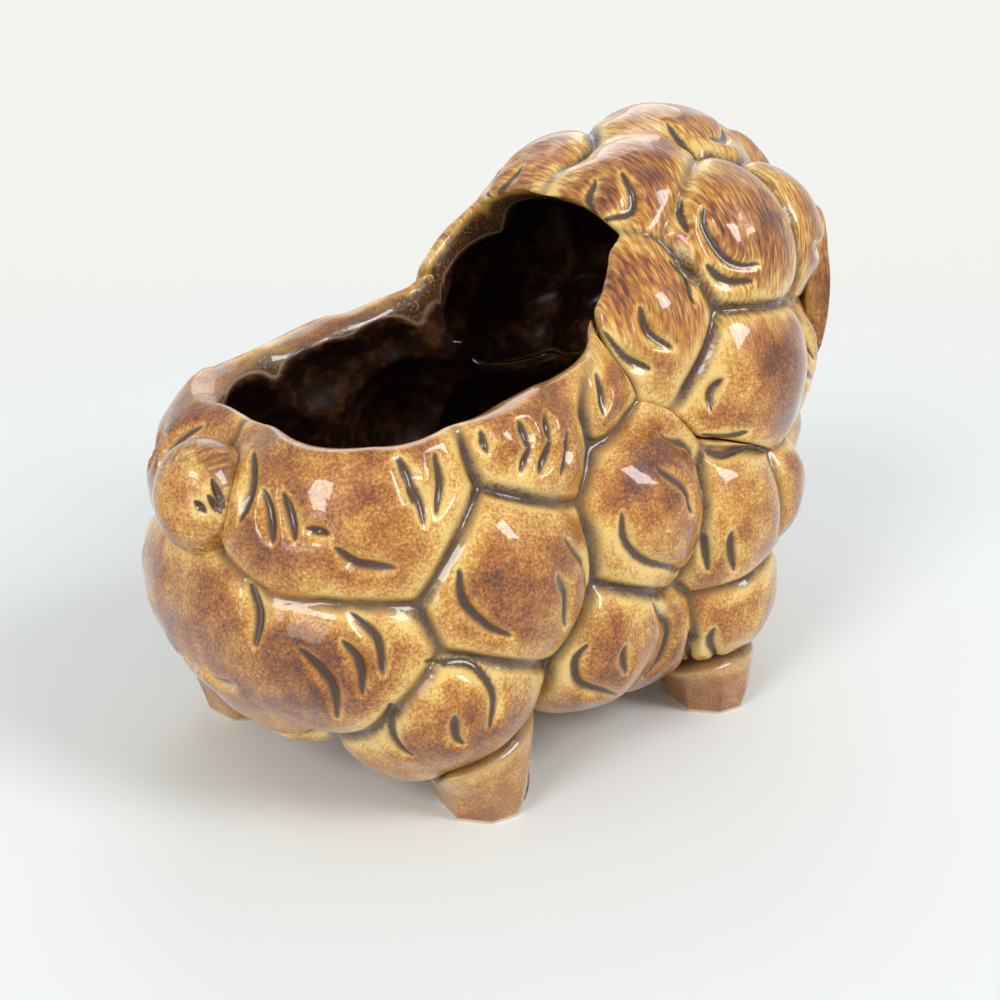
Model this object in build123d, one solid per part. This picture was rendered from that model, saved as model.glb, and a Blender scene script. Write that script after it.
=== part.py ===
from build123d import *
from math import sqrt
import os

# A slip-cast lamb planter: a hollow curly body with a mouth along its back, a hollow head that opens
# into the same cavity, and the face, ears, tail and four legs that are luted to the casting with slip.
#
# Millimetres. +X runs from tail to muzzle, +Y is the animal's left, +Z is up. The origin is on the floor,
# under the middle of the overall box.

# The cast forms.
wall = 4.5
body_radius = 46.0
chest_radius = 45.0
body_span = 61.0
body_lift = 50.0
chest_drop = 0.5
neck_radius = 38.5
neck_lift = 81.0
neck_reach = 57.0
crown_radius = 37.5
crown_lift = 90.0
crown_reach = 75.0

# The core lies this far under the nominal skin, so that the curls meet each other in deep creases.
crease_depth = 2.5

# The muzzle, brow, eyes and nostrils.
brow_radius = 17.0
brow_lift = 98.0
brow_reach = 97.0
muzzle_radius = 12.5
muzzle_lift = 82.0
muzzle_reach = 112.0
eye_radius = 3.2
eye_proud = 1.1
eye_look_shares = (0.62, 0.75, 0.23)
nostril_radius = 1.2
nostril_look_shares = (0.90, 0.33, -0.10)

# The ears.
ear_root_radius = 5.0
ear_tip_radius = 7.5
ear_thickness = 6.5
ear_dome_radius = 60.0
ear_root = (105.5, 19.5, 103.0)
ear_tip = (108.5, 22.5, 77.0)
ear_look_shares = (0.85, 0.53, 0.0)

# The tail.
tail_radius = 9.5
tail_lift = 67.0
tail_reach = 43.0

# The legs. The cleft of each hoof is turned outwards from the front, in degrees.
sole_radius = 9.5
sole_lift = 4.0
thigh_radius = 12.0
thigh_lift = 18.0
thigh_lean = 4.0
cleft_radius = 1.6
cleft_height = 6.0
cleft_turn = 50.0
rear_right_stance = (-3.0, -33.5)
rear_left_stance = (-19.4, 33.5)
front_right_stance = (64.0, -34.0)
front_left_stance = (64.0, 34.0)

# The throat inside the rim, where the soil goes in.
throat_rear = -29.0
throat_front = 42.0
throat_half_width = 29.5
throat_rear_corner = 18.0
throat_front_corner = 26.0
throat_floor = 72.0
throat_top = 92.0

# The window that carries the mouth up into the nape.
window_half_width = 25.0
window_corner = 18.0
window_lift = 113.5
window_reach = 50.0

# One overrun serves every cut that has to clear the clay.
overrun = 20.0

# Turned forms keep their seam off the middle plane, in degrees.
seam_turn = 125

# Curls of the fleece, as (along the span, across, up, radius). The first is a share of the span, measured
# from the middle of the rump, and the rest are shares of the body radius. Each is made on both flanks.
FLANK_CURL_SHARES = [
    (-0.07, 0.57, 0.03, 0.50),
    (0.48, 0.60, 0.15, 0.47),
    (0.10, 0.55, 0.46, 0.40),
    (-0.25, 0.37, 0.26, 0.54),
    (-0.39, 0.30, 0.24, 0.45),
    (-0.33, 0.46, -0.15, 0.49),
    (-0.48, 0.20, -0.04, 0.43),
    (-0.15, 0.61, -0.37, 0.45),
    (-0.18, 0.48, -0.55, 0.39),
    (0.39, 0.60, -0.36, 0.47),
    (0.70, 0.52, -0.50, 0.42),
    (0.93, 0.62, 0.02, 0.45),
    (1.03, 0.61, -0.45, 0.43),
    (1.20, 0.65, 0.00, 0.35),
    (0.41, 0.60, 0.61, 0.24),
    (1.41, 0.28, 0.16, 0.43),
    (1.40, 0.27, -0.27, 0.43),
    (-0.23, 0.43, 0.50, 0.36),
    (0.03, 0.43, 0.57, 0.38),
    (0.30, 0.41, 0.63, 0.38),
    (0.49, 0.28, 0.74, 0.37),
]

# Curls on the middle line of the body, from chest to rump.
MIDDLE_CURL_SHARES = [
    (1.41, 0, 0.39, 0.37),
    (1.31, 0, -0.46, 0.43),
    (0.79, 0, -0.37, 0.64),
    (0.16, 0, -0.37, 0.64),
    (-0.30, 0, -0.41, 0.50),
    (-0.44, 0, -0.13, 0.46),
]

# Curls on the left haunch alone, where the hind leg is set further back.
HAUNCH_CURL_SHARES = [
    (-0.34, 0.54, 0.30, 0.35),
    (-0.30, 0.57, -0.48, 0.42),
]

# Curls of the head, as shares of the crown radius, measured from the middle of the crown.
CHEEK_CURL_SHARES = [
    (-0.72, 0.53, -0.03, 0.51),
    (-0.23, 0.52, 0.27, 0.56),
    (-0.28, 0.57, -0.29, 0.63),
    (-0.39, 0.27, 0.41, 0.52),
    (0.24, 0.53, 0.33, 0.45),
    (0.21, 0.64, -0.35, 0.41),
]
TOPKNOT_CURL_SHARES = [
    (0.03, 0, 0.45, 0.63),
    (0.53, 0, 0.53, 0.37),
]

# The line of the mouth seen from the side, from rump to nape, as (along the span, up) in shares of the
# span and of the body radius, and the rounding of its bend as a share of the body radius.
MOUTH_SHARES = [(-0.10, 0.72), (0.45, 0.86), (0.63, 1.20)]
mouth_bend_shares = (1.2, 0.22)
mouth_rear_share = 0.55

tail_back = tail_reach + tail_radius
muzzle_front = muzzle_reach + muzzle_radius
rump_x = (tail_back - muzzle_front) / 2


def spot(reach, across, lift):
    """A point given by its reach in front of the middle of the rump."""
    return Vector(rump_x + reach, across, lift)


def ball(centre, radius, inner):
    """A ball whose seam and poles are turned towards an inner point, away from the skin."""
    inward = (inner - centre).normalized()
    upright = inward.cross(Vector(inward.Y, inward.Z, inward.X)).normalized()
    return Plane(origin=centre, x_dir=inward, z_dir=upright) * Sphere(radius)


def round_cone(start, start_radius, end, end_radius):
    """Two balls and the cone that is tangent to both, turned as one solid."""
    length = (end - start).length
    slope = (start_radius - end_radius) / length
    flank = sqrt(1 - slope * slope)
    low = (start_radius * flank, start_radius * slope)
    high = (end_radius * flank, length + end_radius * slope)
    with BuildSketch(Plane.XZ) as half:
        with BuildLine():
            RadiusArc((0, -start_radius), low, -start_radius)
            Line(low, high)
            RadiusArc(high, (0, length + end_radius), -end_radius)
            Line((0, length + end_radius), (0, -start_radius))
        make_face()
    turned = revolve(half.sketch, Axis.Z)
    return Plane(origin=start, z_dir=end - start) * Rot(0, 0, seam_turn) * turned


def curls(centre, along, around, shares, sides, inset):
    """The balls of one table of curls, drawn in by the inset."""
    balls = []
    for side in sides:
        for forward, across, up, size in shares:
            place = centre + Vector(forward * along, side * across * around, up * around)
            core = centre + Vector(min(max(forward, 0), 1) * along, 0, 0)
            balls.append(ball(place, size * around - inset, core))
    return balls


def body_form(inset):
    """The fleece of the body without its legs, drawn in by the inset."""
    rump = spot(0, 0, body_lift)
    chest = spot(body_span, 0, body_lift - chest_drop)
    sunk = crease_depth + inset
    core = round_cone(rump, body_radius - sunk, chest, chest_radius - sunk)
    balls = curls(rump, body_span, body_radius, FLANK_CURL_SHARES, (-1, 1), inset)
    balls += curls(rump, body_span, body_radius, MIDDLE_CURL_SHARES, (1,), inset)
    balls += curls(rump, body_span, body_radius, HAUNCH_CURL_SHARES, (1,), inset)
    return core.fuse(*balls)


def head_form(inset):
    """The fleece of the neck and head, drawn in by the inset."""
    neck = spot(neck_reach, 0, neck_lift)
    crown = spot(crown_reach, 0, crown_lift)
    sunk = crease_depth + inset
    core = round_cone(neck, neck_radius - sunk, crown, crown_radius - sunk)
    balls = curls(crown, crown_radius, crown_radius, CHEEK_CURL_SHARES, (-1, 1), inset)
    balls += curls(crown, crown_radius, crown_radius, TOPKNOT_CURL_SHARES, (1,), inset)
    return core.fuse(*balls)


def mouth_cutter():
    """The clay cut away along the back, with a round-topped window that carries on into the nape."""
    rump = spot(0, 0, body_lift)
    behind = rump.X - body_radius - overrun
    above = window_lift + overrun
    line = [(behind, body_lift + mouth_rear_share * body_radius)]
    for along, up in MOUTH_SHARES:
        line.append((rump.X + along * body_span, body_lift + up * body_radius))
    with BuildSketch(Plane.XZ) as side:
        with BuildLine():
            FilletPolyline(*line, radius=[share * body_radius for share in mouth_bend_shares])
            Polyline(line[-1], (behind, above), line[0])
        make_face()
    back = extrude(side.sketch, amount=body_radius + overrun, both=True)

    sill = line[-2][1]
    height = window_lift - sill
    arch = Box(
        rump.X + window_reach - behind,
        2 * window_half_width,
        height,
        align=(Align.MIN, Align.CENTER, Align.MIN),
    )
    crown_edges = arch.edges().filter_by(Axis.X).sort_by(Axis.Z)[-2:]
    window = Pos(behind, 0, sill) * fillet(crown_edges, window_corner)
    return back.fuse(window)


def throat_cutter():
    """The upright inner wall of the rim, long with round corners in plan."""
    length = throat_front - throat_rear
    plug = Box(
        length,
        2 * throat_half_width,
        throat_top - throat_floor,
        align=(Align.MIN, Align.CENTER, Align.MIN),
    )
    plug = fillet(plug.edges().filter_by(Axis.Z).group_by(Axis.X)[0], throat_rear_corner)
    plug = fillet(plug.edges().filter_by(Axis.Z).group_by(Axis.X)[-1], throat_front_corner)
    return Pos(*spot(throat_rear, 0, throat_floor)) * plug


def leg(stance):
    """A short leg that leans in under the body, with a flat sole and a cleft in the hoof."""
    reach, across = stance
    lean = thigh_lean if across < 0 else -thigh_lean
    hoof = spot(reach, across, sole_lift)
    thigh = spot(reach, across + lean, thigh_lift)
    stub = round_cone(hoof, sole_radius, thigh, thigh_radius)
    standing = (Align.CENTER, Align.CENTER, Align.MIN)
    hanging = (Align.CENTER, Align.CENTER, Align.MAX)
    front = Pos(hoof.X, hoof.Y, 0) * Rot(0, 0, cleft_turn if across > 0 else -cleft_turn)
    cleft = front * Pos(sole_radius, 0, 0) * Cylinder(cleft_radius, cleft_height, align=standing)
    ground = Pos(hoof.X, hoof.Y, 0) * Cylinder(sole_radius + overrun, overrun, align=hanging)
    return stub.cut(cleft, ground)


def looking(centre, radius, look, side):
    """The point on a ball that lies towards a direction, which is mirrored for the other side."""
    forward, across, up = look
    return centre + Vector(forward, side * across, up).normalized() * radius


def face_form():
    """A long smooth face from brow to muzzle, with eyes that stand proud and two nostrils."""
    brow = spot(brow_reach, 0, brow_lift)
    muzzle = spot(muzzle_reach, 0, muzzle_lift)
    face = round_cone(brow, brow_radius, muzzle, muzzle_radius)
    for side in (-1, 1):
        eye = looking(brow, brow_radius + eye_proud - eye_radius, eye_look_shares, side)
        nostril = looking(muzzle, muzzle_radius, nostril_look_shares, side)
        face = face.fuse(ball(eye, eye_radius, brow)).cut(ball(nostril, nostril_radius, brow))
    return face


def ear_form(side):
    """A drooping leaf: a round cone pared down between two shallow domes."""
    root = spot(ear_root[0], side * ear_root[1], ear_root[2])
    tip = spot(ear_tip[0], side * ear_tip[1], ear_tip[2])
    leaf = round_cone(root, ear_root_radius, tip, ear_tip_radius)
    depth = ear_dome_radius - ear_thickness / 2
    for turn in (-1, 1):
        middle = (root + tip) * 0.5
        dome = looking(middle, turn * depth, ear_look_shares, side)
        leaf = leaf.intersect(ball(dome, ear_dome_radius, dome + dome - middle))[0]
    return leaf


body = body_form(0)
head = head_form(0)
hollow = body_form(wall).fuse(head_form(wall))
mouth = mouth_cutter().fuse(throat_cutter())
face = face_form()
stances = {
    "rear_right_leg": rear_right_stance,
    "rear_left_leg": rear_left_stance,
    "front_right_leg": front_right_stance,
    "front_left_leg": front_left_stance,
}

pieces = {
    "body_shell": body.cut(hollow).cut(mouth),
    "head_shell": head.cut(body).cut(hollow).cut(mouth),
    "face": face.cut(head, body),
    "tail": ball(spot(-tail_reach, 0, tail_lift), tail_radius, spot(0, 0, tail_lift)).cut(body),
    "right_ear": ear_form(-1).cut(head, body, face),
    "left_ear": ear_form(1).cut(head, body, face),
}
for name, stance in stances.items():
    pieces[name] = leg(stance).cut(body)

os.makedirs("parts", exist_ok=True)
for name, piece in pieces.items():
    piece.label = name
    export_step(piece, f"parts/{name}.step")
    box = piece.bounding_box()
    solids = piece.solids()
    print(name, len(solids), "solids", round(piece.volume), "mm3", box.min, box.max)
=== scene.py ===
import math

import bpy
import numpy as np
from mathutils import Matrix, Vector
from mathutils.bvhtree import BVHTree
from mathutils.kdtree import KDTree


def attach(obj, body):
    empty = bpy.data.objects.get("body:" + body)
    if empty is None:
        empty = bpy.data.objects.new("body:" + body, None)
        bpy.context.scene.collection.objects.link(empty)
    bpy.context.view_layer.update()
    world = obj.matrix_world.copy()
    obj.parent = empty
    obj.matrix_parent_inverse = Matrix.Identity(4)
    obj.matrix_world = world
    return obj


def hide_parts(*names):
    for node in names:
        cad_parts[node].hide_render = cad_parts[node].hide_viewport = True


# The looks of a slip-cast lamb planter: a fleece of curls with cut crescents under a pooled honey glaze.
# Lengths are metres. +X runs from tail to muzzle, +Y is the animal's left, +Z is up.

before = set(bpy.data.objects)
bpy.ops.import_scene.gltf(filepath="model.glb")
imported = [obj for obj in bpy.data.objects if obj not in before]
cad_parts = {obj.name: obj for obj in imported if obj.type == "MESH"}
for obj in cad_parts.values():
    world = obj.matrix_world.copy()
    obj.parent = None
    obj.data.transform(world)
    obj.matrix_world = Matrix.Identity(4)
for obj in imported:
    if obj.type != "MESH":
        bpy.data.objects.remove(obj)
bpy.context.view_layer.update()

MM = 0.001
FAR = 1e9
TINY = 1e-9

# The camera stands behind the lamb on its right, as the photograph was taken.
CAMERA_PLACE = (-0.1921, -0.2218, 0.1650)
CAMERA_AZIMUTH = -40.0
CAMERA_ELEVATION = 22.0
LENS_MM = 50.4
SENSOR_MM = 36.0
FRAME_PIXELS = 1000

# The cast forms that carry the curls, each a pair of balls and the cone between them.
BODY_LIFT = 50.0
RUMP_X = -36.0
BODY_SPAN = 61.0
BODY_RADIUS = 46.0
CHEST_RADIUS = 45.0
CHEST_DROP = 0.5
NECK_REACH = 57.0
NECK_LIFT = 81.0
NECK_RADIUS = 38.5
CROWN_REACH = 75.0
CROWN_LIFT = 90.0
CROWN_RADIUS = 37.5
CREASE_DEPTH = 2.5
WALL = 4.5

# A ball is a cone this short.
BALL_AXIS = np.array([0, 0, 0.1])

# Curls of the fleece: lock, then along the span, across, up and radius as shares. Balls of one lock melt
# into one curl, and a valley runs between two locks.
BODY_CURLS = [
    ("flank", -0.07, 0.57, 0.03, 0.50),
    ("shoulder", 0.48, 0.60, 0.15, 0.47),
    ("saddle", 0.10, 0.55, 0.46, 0.40),
    ("haunch", -0.25, 0.37, 0.26, 0.54),
    ("haunch", -0.39, 0.30, 0.24, 0.45),
    ("rump", -0.33, 0.46, -0.15, 0.49),
    ("rump", -0.48, 0.20, -0.04, 0.43),
    ("hock", -0.15, 0.61, -0.37, 0.45),
    ("hock", -0.18, 0.48, -0.55, 0.39),
    ("belly", 0.39, 0.60, -0.36, 0.47),
    ("belly", 0.70, 0.52, -0.50, 0.42),
    ("brisket", 0.93, 0.62, 0.02, 0.45),
    ("elbow", 1.03, 0.61, -0.45, 0.43),
    ("chest", 1.20, 0.65, 0.00, 0.35),
    ("withers", 0.41, 0.60, 0.61, 0.24),
    ("bib", 1.41, 0.28, 0.16, 0.43),
    ("apron", 1.40, 0.27, -0.27, 0.43),
    ("haunch", -0.23, 0.43, 0.50, 0.36),
    ("saddle", 0.03, 0.43, 0.57, 0.38),
    ("saddle", 0.30, 0.41, 0.63, 0.38),
    ("withers", 0.49, 0.28, 0.74, 0.37),
]
MIDDLE_CURLS = [
    ("throat", 1.41, 0, 0.39, 0.37),
    ("keel", 1.31, 0, -0.46, 0.43),
    ("under", 0.79, 0, -0.37, 0.64),
    ("under", 0.16, 0, -0.37, 0.64),
    ("rump", -0.30, 0, -0.41, 0.50),
    ("rump", -0.44, 0, -0.13, 0.46),
]
LEFT_CURLS = [
    ("haunch", -0.34, 0.54, 0.30, 0.35),
    ("hock", -0.30, 0.57, -0.48, 0.42),
]
HEAD_CURLS = [
    ("nape", -0.72, 0.53, -0.03, 0.51),
    ("temple", -0.23, 0.52, 0.27, 0.56),
    ("jowl", -0.28, 0.57, -0.29, 0.63),
    ("crest", -0.39, 0.27, 0.41, 0.52),
    ("brow", 0.24, 0.53, 0.33, 0.45),
    ("cheek", 0.21, 0.64, -0.35, 0.41),
]
MIDDLE_HEAD_CURLS = [
    ("topknot", 0.03, 0, 0.45, 0.63),
    ("forelock", 0.53, 0, 0.53, 0.37),
]

# Where the modelled curls differ from the solids: a shift along, across and up, and a swell, in
# millimetres.
RESHAPED = {
    "flank-1": (2.8, 1.6, -0.8, 3.0),
    "shoulder-1": (3.0, 0.8, -2.2, 1.6),
    "brisket-1": (2.2, 0.0, -2.6, 0.8),
    "haunch-1": (-0.8, 0.0, 0.0, 0.0),
    "temple-1": (2.4, 0.0, 0.0, 0.4),
    "jowl-1": (2.6, 0.0, -2.0, 1.2),
}

# Crescents cut into the curls on the right side, as points of the photograph in pixels.
CRESCENTS = [
    [(460, 570), (464, 603), (487, 626), (509, 634)],
    [(551, 575), (559, 592), (555, 620)],
    [(556, 540), (571, 566), (576, 592), (568, 616), (546, 642)],
    [(658, 467), (681, 487), (684, 512)],
    [(661, 436), (695, 464), (701, 495)],
    [(624, 514), (627, 542), (644, 561), (675, 564)],
    [(479, 431), (487, 453)],
    [(518, 420), (525, 431), (531, 450)],
    [(531, 447), (527, 460), (521, 472)],
    [(545, 413), (550, 425), (551, 440)],
    [(551, 440), (549, 456), (540, 474)],
    [(569, 432), (570, 456), (562, 475)],
    [(266, 491), (275, 542)],
    [(286, 494), (297, 539)],
    [(395, 457), (409, 477), (412, 502)],
    [(432, 455), (442, 483), (437, 514)],
    [(336, 547), (359, 564), (395, 567)],
    [(308, 528), (331, 533)],
    [(249, 584), (259, 612), (259, 643)],
    [(350, 615), (379, 643), (384, 679)],
    [(342, 643), (359, 668), (362, 699)],
    [(390, 711), (390, 737), (400, 750), (413, 755)],
    [(428, 664), (469, 666), (488, 681), (496, 701), (491, 729)],
    [(455, 717), (457, 740), (464, 745)],
    [(588, 646), (576, 665), (582, 688), (619, 696)],
    [(627, 646), (627, 674)],
    [(655, 603), (669, 632), (661, 660), (644, 676)],
    [(708, 535), (707, 568)],
    [(733, 532), (731, 566)],
    [(690, 634), (690, 665)],
    [(715, 629), (712, 648), (721, 665)],
    [(670, 260), (689, 276), (695, 304)],
    [(640, 307), (650, 333), (673, 349)],
    [(602, 333), (625, 358), (650, 369)],
    [(682, 195), (681, 210), (688, 230)],
    [(705, 206), (706, 226), (726, 257), (744, 266), (760, 264)],
    [(709, 265), (729, 282), (754, 281)],
    [(724, 379), (711, 396), (711, 410)],
    [(700, 431), (721, 434), (743, 428)],
    [(704, 449), (725, 454), (756, 445)],
    [(791, 325), (809, 340), (816, 358)],
    [(804, 367), (815, 382), (812, 400)],
    [(594, 375), (605, 391), (605, 414)],
    [(622, 172), (632, 195), (628, 214), (604, 224)],
    [(594, 180), (590, 200), (596, 222)],
    [(668, 122), (682, 140), (697, 160)],
    [(257, 455), (252, 485), (243, 522)],
    [(300, 648), (330, 690), (336, 722)],
    [(400, 470), (420, 500), (424, 525)],
]

# The mouth's smooth outline inside the rim, and the window that carries it up into the nape.
THROAT_REAR = -29.0
THROAT_FRONT = 42.0
THROAT_HALF_WIDTH = 29.5
THROAT_CORNER = 21.0
WINDOW_HALF_WIDTH = 25.0
WINDOW_CORNER = 18.0
WINDOW_LIFT = 113.5
WINDOW_START = (86, 94)

# The pieces that are luted on. A look is a direction, and a cut is a stroke's depth and width.
BROW = (97.0, 0, 98.0)
BROW_RADIUS = 17.0
MUZZLE = (112.0, 0, 82.0)
MUZZLE_RADIUS = 12.5
EYE_LOOK = (0.62, 0.75, 0.23)
EYE_REACH = 4.6
SOCKET_DEPTH = 1.3
SOCKET_WIDTH = 1.6
LID_STEPS = [(0.16, -0.20, 0.12), (0.10, -0.08, 0.22), (0.0, 0.04, 0.25), (-0.12, 0.12, 0.16)]
MOUTH_LOOKS = [(0.98, 0.0, -0.42), (0.92, 0.28, -0.50), (0.72, 0.62, -0.42), (0.52, 0.82, -0.22)]
PHILTRUM_LOOKS = [(1.0, 0, 0.02), (1.0, 0, -0.20), (0.98, 0, -0.42)]
NOSE_LOOK = (0.92, 0, 0.30)
NOSE_HEIGHT = 0.9
NOSE_WIDTH = 4.2
NOSE_SHARES = (1, 0.75, 1.3)
FACE_CUT = (0.9, 0.8)
EAR_ROOT = (105.5, 19.5, 103.0)
EAR_TIP = (108.5, 22.5, 77.0)
EAR_LOOK = (0.85, 0.53, 0.0)
EAR_OUTSIDE = (0.5, 2.5)
EAR_ACROSS = (1.5, 5.5)
EAR_ALONG = (2, 9)
EAR_HOLLOW = 1.3
TAIL_RADIUS = 9.5
TAIL_LIFT = 67.0
TAIL_REACH = 43.0
TAIL_STRETCH = np.array([1.0, 1.06, 1.20])
TAIL_SHIFT = np.array([0.3, -1.5, 0.9])
TAIL_LOOK = (-0.80, -0.58, 0.15)
TAIL_SLITS = [
    [(-0.28, -0.84, 0.62), (-0.24, -0.98, 0.36), (-0.18, -1.10, 0.14)],
    [(-0.42, -0.86, 0.36), (-0.34, -1.02, 0.18), (-0.28, -1.12, 0.06)],
    [(-0.66, -0.72, 0.26), (-0.53, -0.92, 0.08)],
]
SLIT_STEP = 1.0
TAIL_CUT = (1.1, 0.6)
TAIL_EDGE = (0.12, 0.40)
DIMPLE_DEPTH = 1.0
DIMPLE_SPREAD = 0.10
SOLE_RADIUS = 9.5
SOLE_LIFT = 4.0
THIGH_RADIUS = 12.0
THIGH_LIFT = 18.0
THIGH_LEAN = 4.0
CLEFT_RADIUS = 1.6
CLEFT_HEIGHT = 6.0
CLEFT_TURN = 50.0
CLEFT_SLOPE = 0.8
CLEFT_MARGIN = 0.9
CLEFT_CUT = (0.7, 0.9)
CLEFT_CREASE = [(0.0, 5.0), (0.0, 8.0), (-0.6, 12.0)]
STANCES = {
    "rear_right_leg": (-3.0, -33.5),
    "rear_left_leg": (-19.4, 33.5),
    "front_right_leg": (64.0, -34.0),
    "front_left_leg": (64.0, 34.0),
}

# The hoof's flat facets on the outer side, as azimuth from the front in degrees and distance from the
# middle, and how a leg widens upwards, per millimetre of height. The left legs widen evenly.
HOOF_FACETS = [(0, 8.6), (60, 8.4), (100, 7.6), (140, 7.0), (190, 7.2)]
FACET_SLOPE = 0.25
FACET_FADE = (5.0, 15.0)
RIGHT_BACK_FLARE = 0.045
FLARE = 0.006
SIDE_FLARE = 0.012
FLARE_START = 2
FLARE_HEIGHT = 16
FLARE_JOINT = (0.0, 1.5)

# Crescents that the photograph doesn't show: middle of the curl and its radius, look, opening of the ring
# and the arc along it in degrees.
RING_CRESCENTS = [
    ((14.5, 12.8, 57.0), 20, (0.9, 0.35, 0.1), 24, 100, 220),
    ((50.0, 12.8, 57.5), 20, (0.9, 0.30, -0.1), 26, 20, 140),
    ((49.5, 12.5, 37.5), 20, (0.85, 0.40, -0.1), 24, 110, 240),
    ((59.0, 0.0, 110.0), 14, (0.7, 0.0, 0.7), 28, 40, 150),
    ((40.0, 0.0, 107.0), 23, (0.1, 0.35, 0.95), 22, 90, 210),
    ((48.0, 20.0, 102.5), 17, (0.5, 0.7, 0.5), 34, 110, 220),
    ((-54.0, 0.0, 31.0), 23, (-0.8, 0.45, -0.2), 26, 80, 190),
    ((-63.0, 0.0, 44.0), 21, (-0.9, 0.25, -0.1), 24, 120, 230),
]

FLOOR_SIZE = 60.0
FLOOR_FADE = (0.16, 0.50)
PAPER_ROUGHNESS = 0.8
PAPER = (0.78, 0.81, 0.82)
PAPER_GLOW = (0.81, 0.82, 0.79)
SKY = (0.95, 0.97, 0.94)
SKY_STRENGTH = 0.58
LAMPS = [
    ("window", (0.55, -1.75, 1.55), 0.75, 28.0),
    ("door", (-1.85, -0.60, 1.40), 0.70, 21.0),
    ("lamp", (-1.60, -0.45, 0.30), 0.45, 2.5),
    ("fill", (1.20, 1.60, 1.60), 1.30, 9.0),
]
LAMP_STRETCH = 1.3
LAMP_AIM = Vector((0, 0, 0.06))

# Sizes of the sculpting, in millimetres. A stroke thins towards its ends.
VALLEY_DEPTH = 0.9
VALLEY_WIDTH = 1.3
CRESCENT_DEPTH = 1.8
CRESCENT_WIDTH = 1.65
CRESCENT_LIP = 0.14
CRESCENT_REACH = 6
CRESCENT_TAPER = (0.03, 0.55)
CRESCENT_TIP = 0.25
LIP_PLACE = 2.6
LIP_SPREAD = 1.5
SHORT_STROKE = 8
SHORT_STROKE_POWER = 0.3
STROKE_TAPER = (0.06, 0.7)
STROKE_STEP = 1.5
LEAST_POINTS = 3
RING_POINTS = 16
MELT = 2.2
MELT_SHARE = 0.6
RUMP_MELT = 4.5
RUMP_SINK = 1.6
FILL = 0.8
FADE_END = 40
LEAST_OPENING = 0.3
CREASE_OPENING = (0.35, 0.85)
WOBBLE = 0.22
WAVES = 5
WAVE_TURN = 2.4
WAVE_TILT = 1.7
WAVE_LEAN = 0.5
WAVE_RATE = 0.32
WAVE_STEP = 0.07
WAVE_PHASE = 1.3
WAVE_SCALE = 3
RIM_FILL = 4.0
FLOOD_DEPTH = 6
FLOOD_START = -8
FLOOD_SINK = 1.5
RIM_SLOPE = 2.5
RIM_REACH = 11.0
RIM_PUSH = 7.0
RIM_PULL = 4.0
RIM_ROUNDS = 60
NEAR_STRIDE = 7
SETTLE_ROUNDS = 2
SETTLE_SHARE = 0.45
LINED = 0.8
LIP_CARVED = 0.25
LIP_CREASED = 0.4
TUCK = 2.2
TUCKED = (0.1, 0.5)
MERGE_GAP = 0.01
MARK_LIMIT = 9.0
VALLEY_LIMIT = 14
SKIN_VOXEL = 0.5
SMALL_VOXEL = 0.3
TRIANGLE_LIMIT = 190000
SMALL_LIMIT = 60000

# Colours of the glaze, and the painted shade of the hollow.
CREAM = (0.74, 0.50, 0.16)
STRAW = (0.57, 0.30, 0.058)
AMBER = (0.37, 0.130, 0.016)
CHESTNUT = (0.17, 0.044, 0.009)
UMBER = (0.055, 0.018, 0.009)
POOLED = (0.034, 0.010, 0.009)
TAN = (0.36, 0.20, 0.10)
SPECKLE = (0.080, 0.038, 0.022)
EDGE = (0.62, 0.50, 0.36)
# Painted shade of the hollow inside the planter: a near-black with warmer flecks on the inner wall, not a
# glaze colour.
HOLLOW_SHADE = (0.018, 0.006, 0.003)
HOLLOW_SHADE_WARM = (0.090, 0.032, 0.010)
CLAY = (0.62, 0.48, 0.33)
GREY = [(0.0, (0, 0, 0)), (1.0, (1, 1, 1))]
HONEY = [(0.0, CREAM), (0.22, STRAW), (0.48, AMBER), (0.76, CHESTNUT), (1.0, UMBER)]

# Noises of the glaze: size in metres, detail and roughness, then stretch and turn where they have a grain.
GRAIN = (0.00062, 3.0, 0.75)
MOTTLE = (0.0042, 3.0, 0.6)
CLOUD = (0.017, 2.0, 0.5)
BRUSHED = (0.00050, 1.5, 0.6, (1.0, 0.12, 0.16), (0.5, 0.6, 0.9))
STREAKS = (0.0011, 2.0, 0.6, (0.12, 1.0, 1.0), (0, 0.3, 0.5))
RIPPLE = (0.0016, 3.0, 0.65)
RIPPLE_HEIGHT = 0.00007

# How much darker a piece's honey is, and where its crowns begin and end, in millimetres from a valley.
FLEECE_HONEY = (0.0, (1.2, 7.5))
LEG_HONEY = (-0.04, (0.5, 5.0))
TAIL_HONEY = (-0.22, (0.3, 3.0))
FACE_HONEY = (-0.06, (0.5, 6.0))

# What darkens the honey: shares of its shade, and how far the noises swing it.
BASE_SHADE = 0.13
CROWN_SHADE = 0.38
CLOUD_SWING = 1.2
MOTTLE_SWING = 0.65
FINE_SWING = 1.45

# How far the noises move the edge of the pooled glaze, in millimetres, and of the rim's speckled band, as a
# share of the wall.
POOL_CLOUD = 2.6
POOL_MOTTLE = 1.5
POOL_GRAIN = 2.4
CUT_GRAIN = 1.2
RIM_MOTTLE = 0.3

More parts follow.
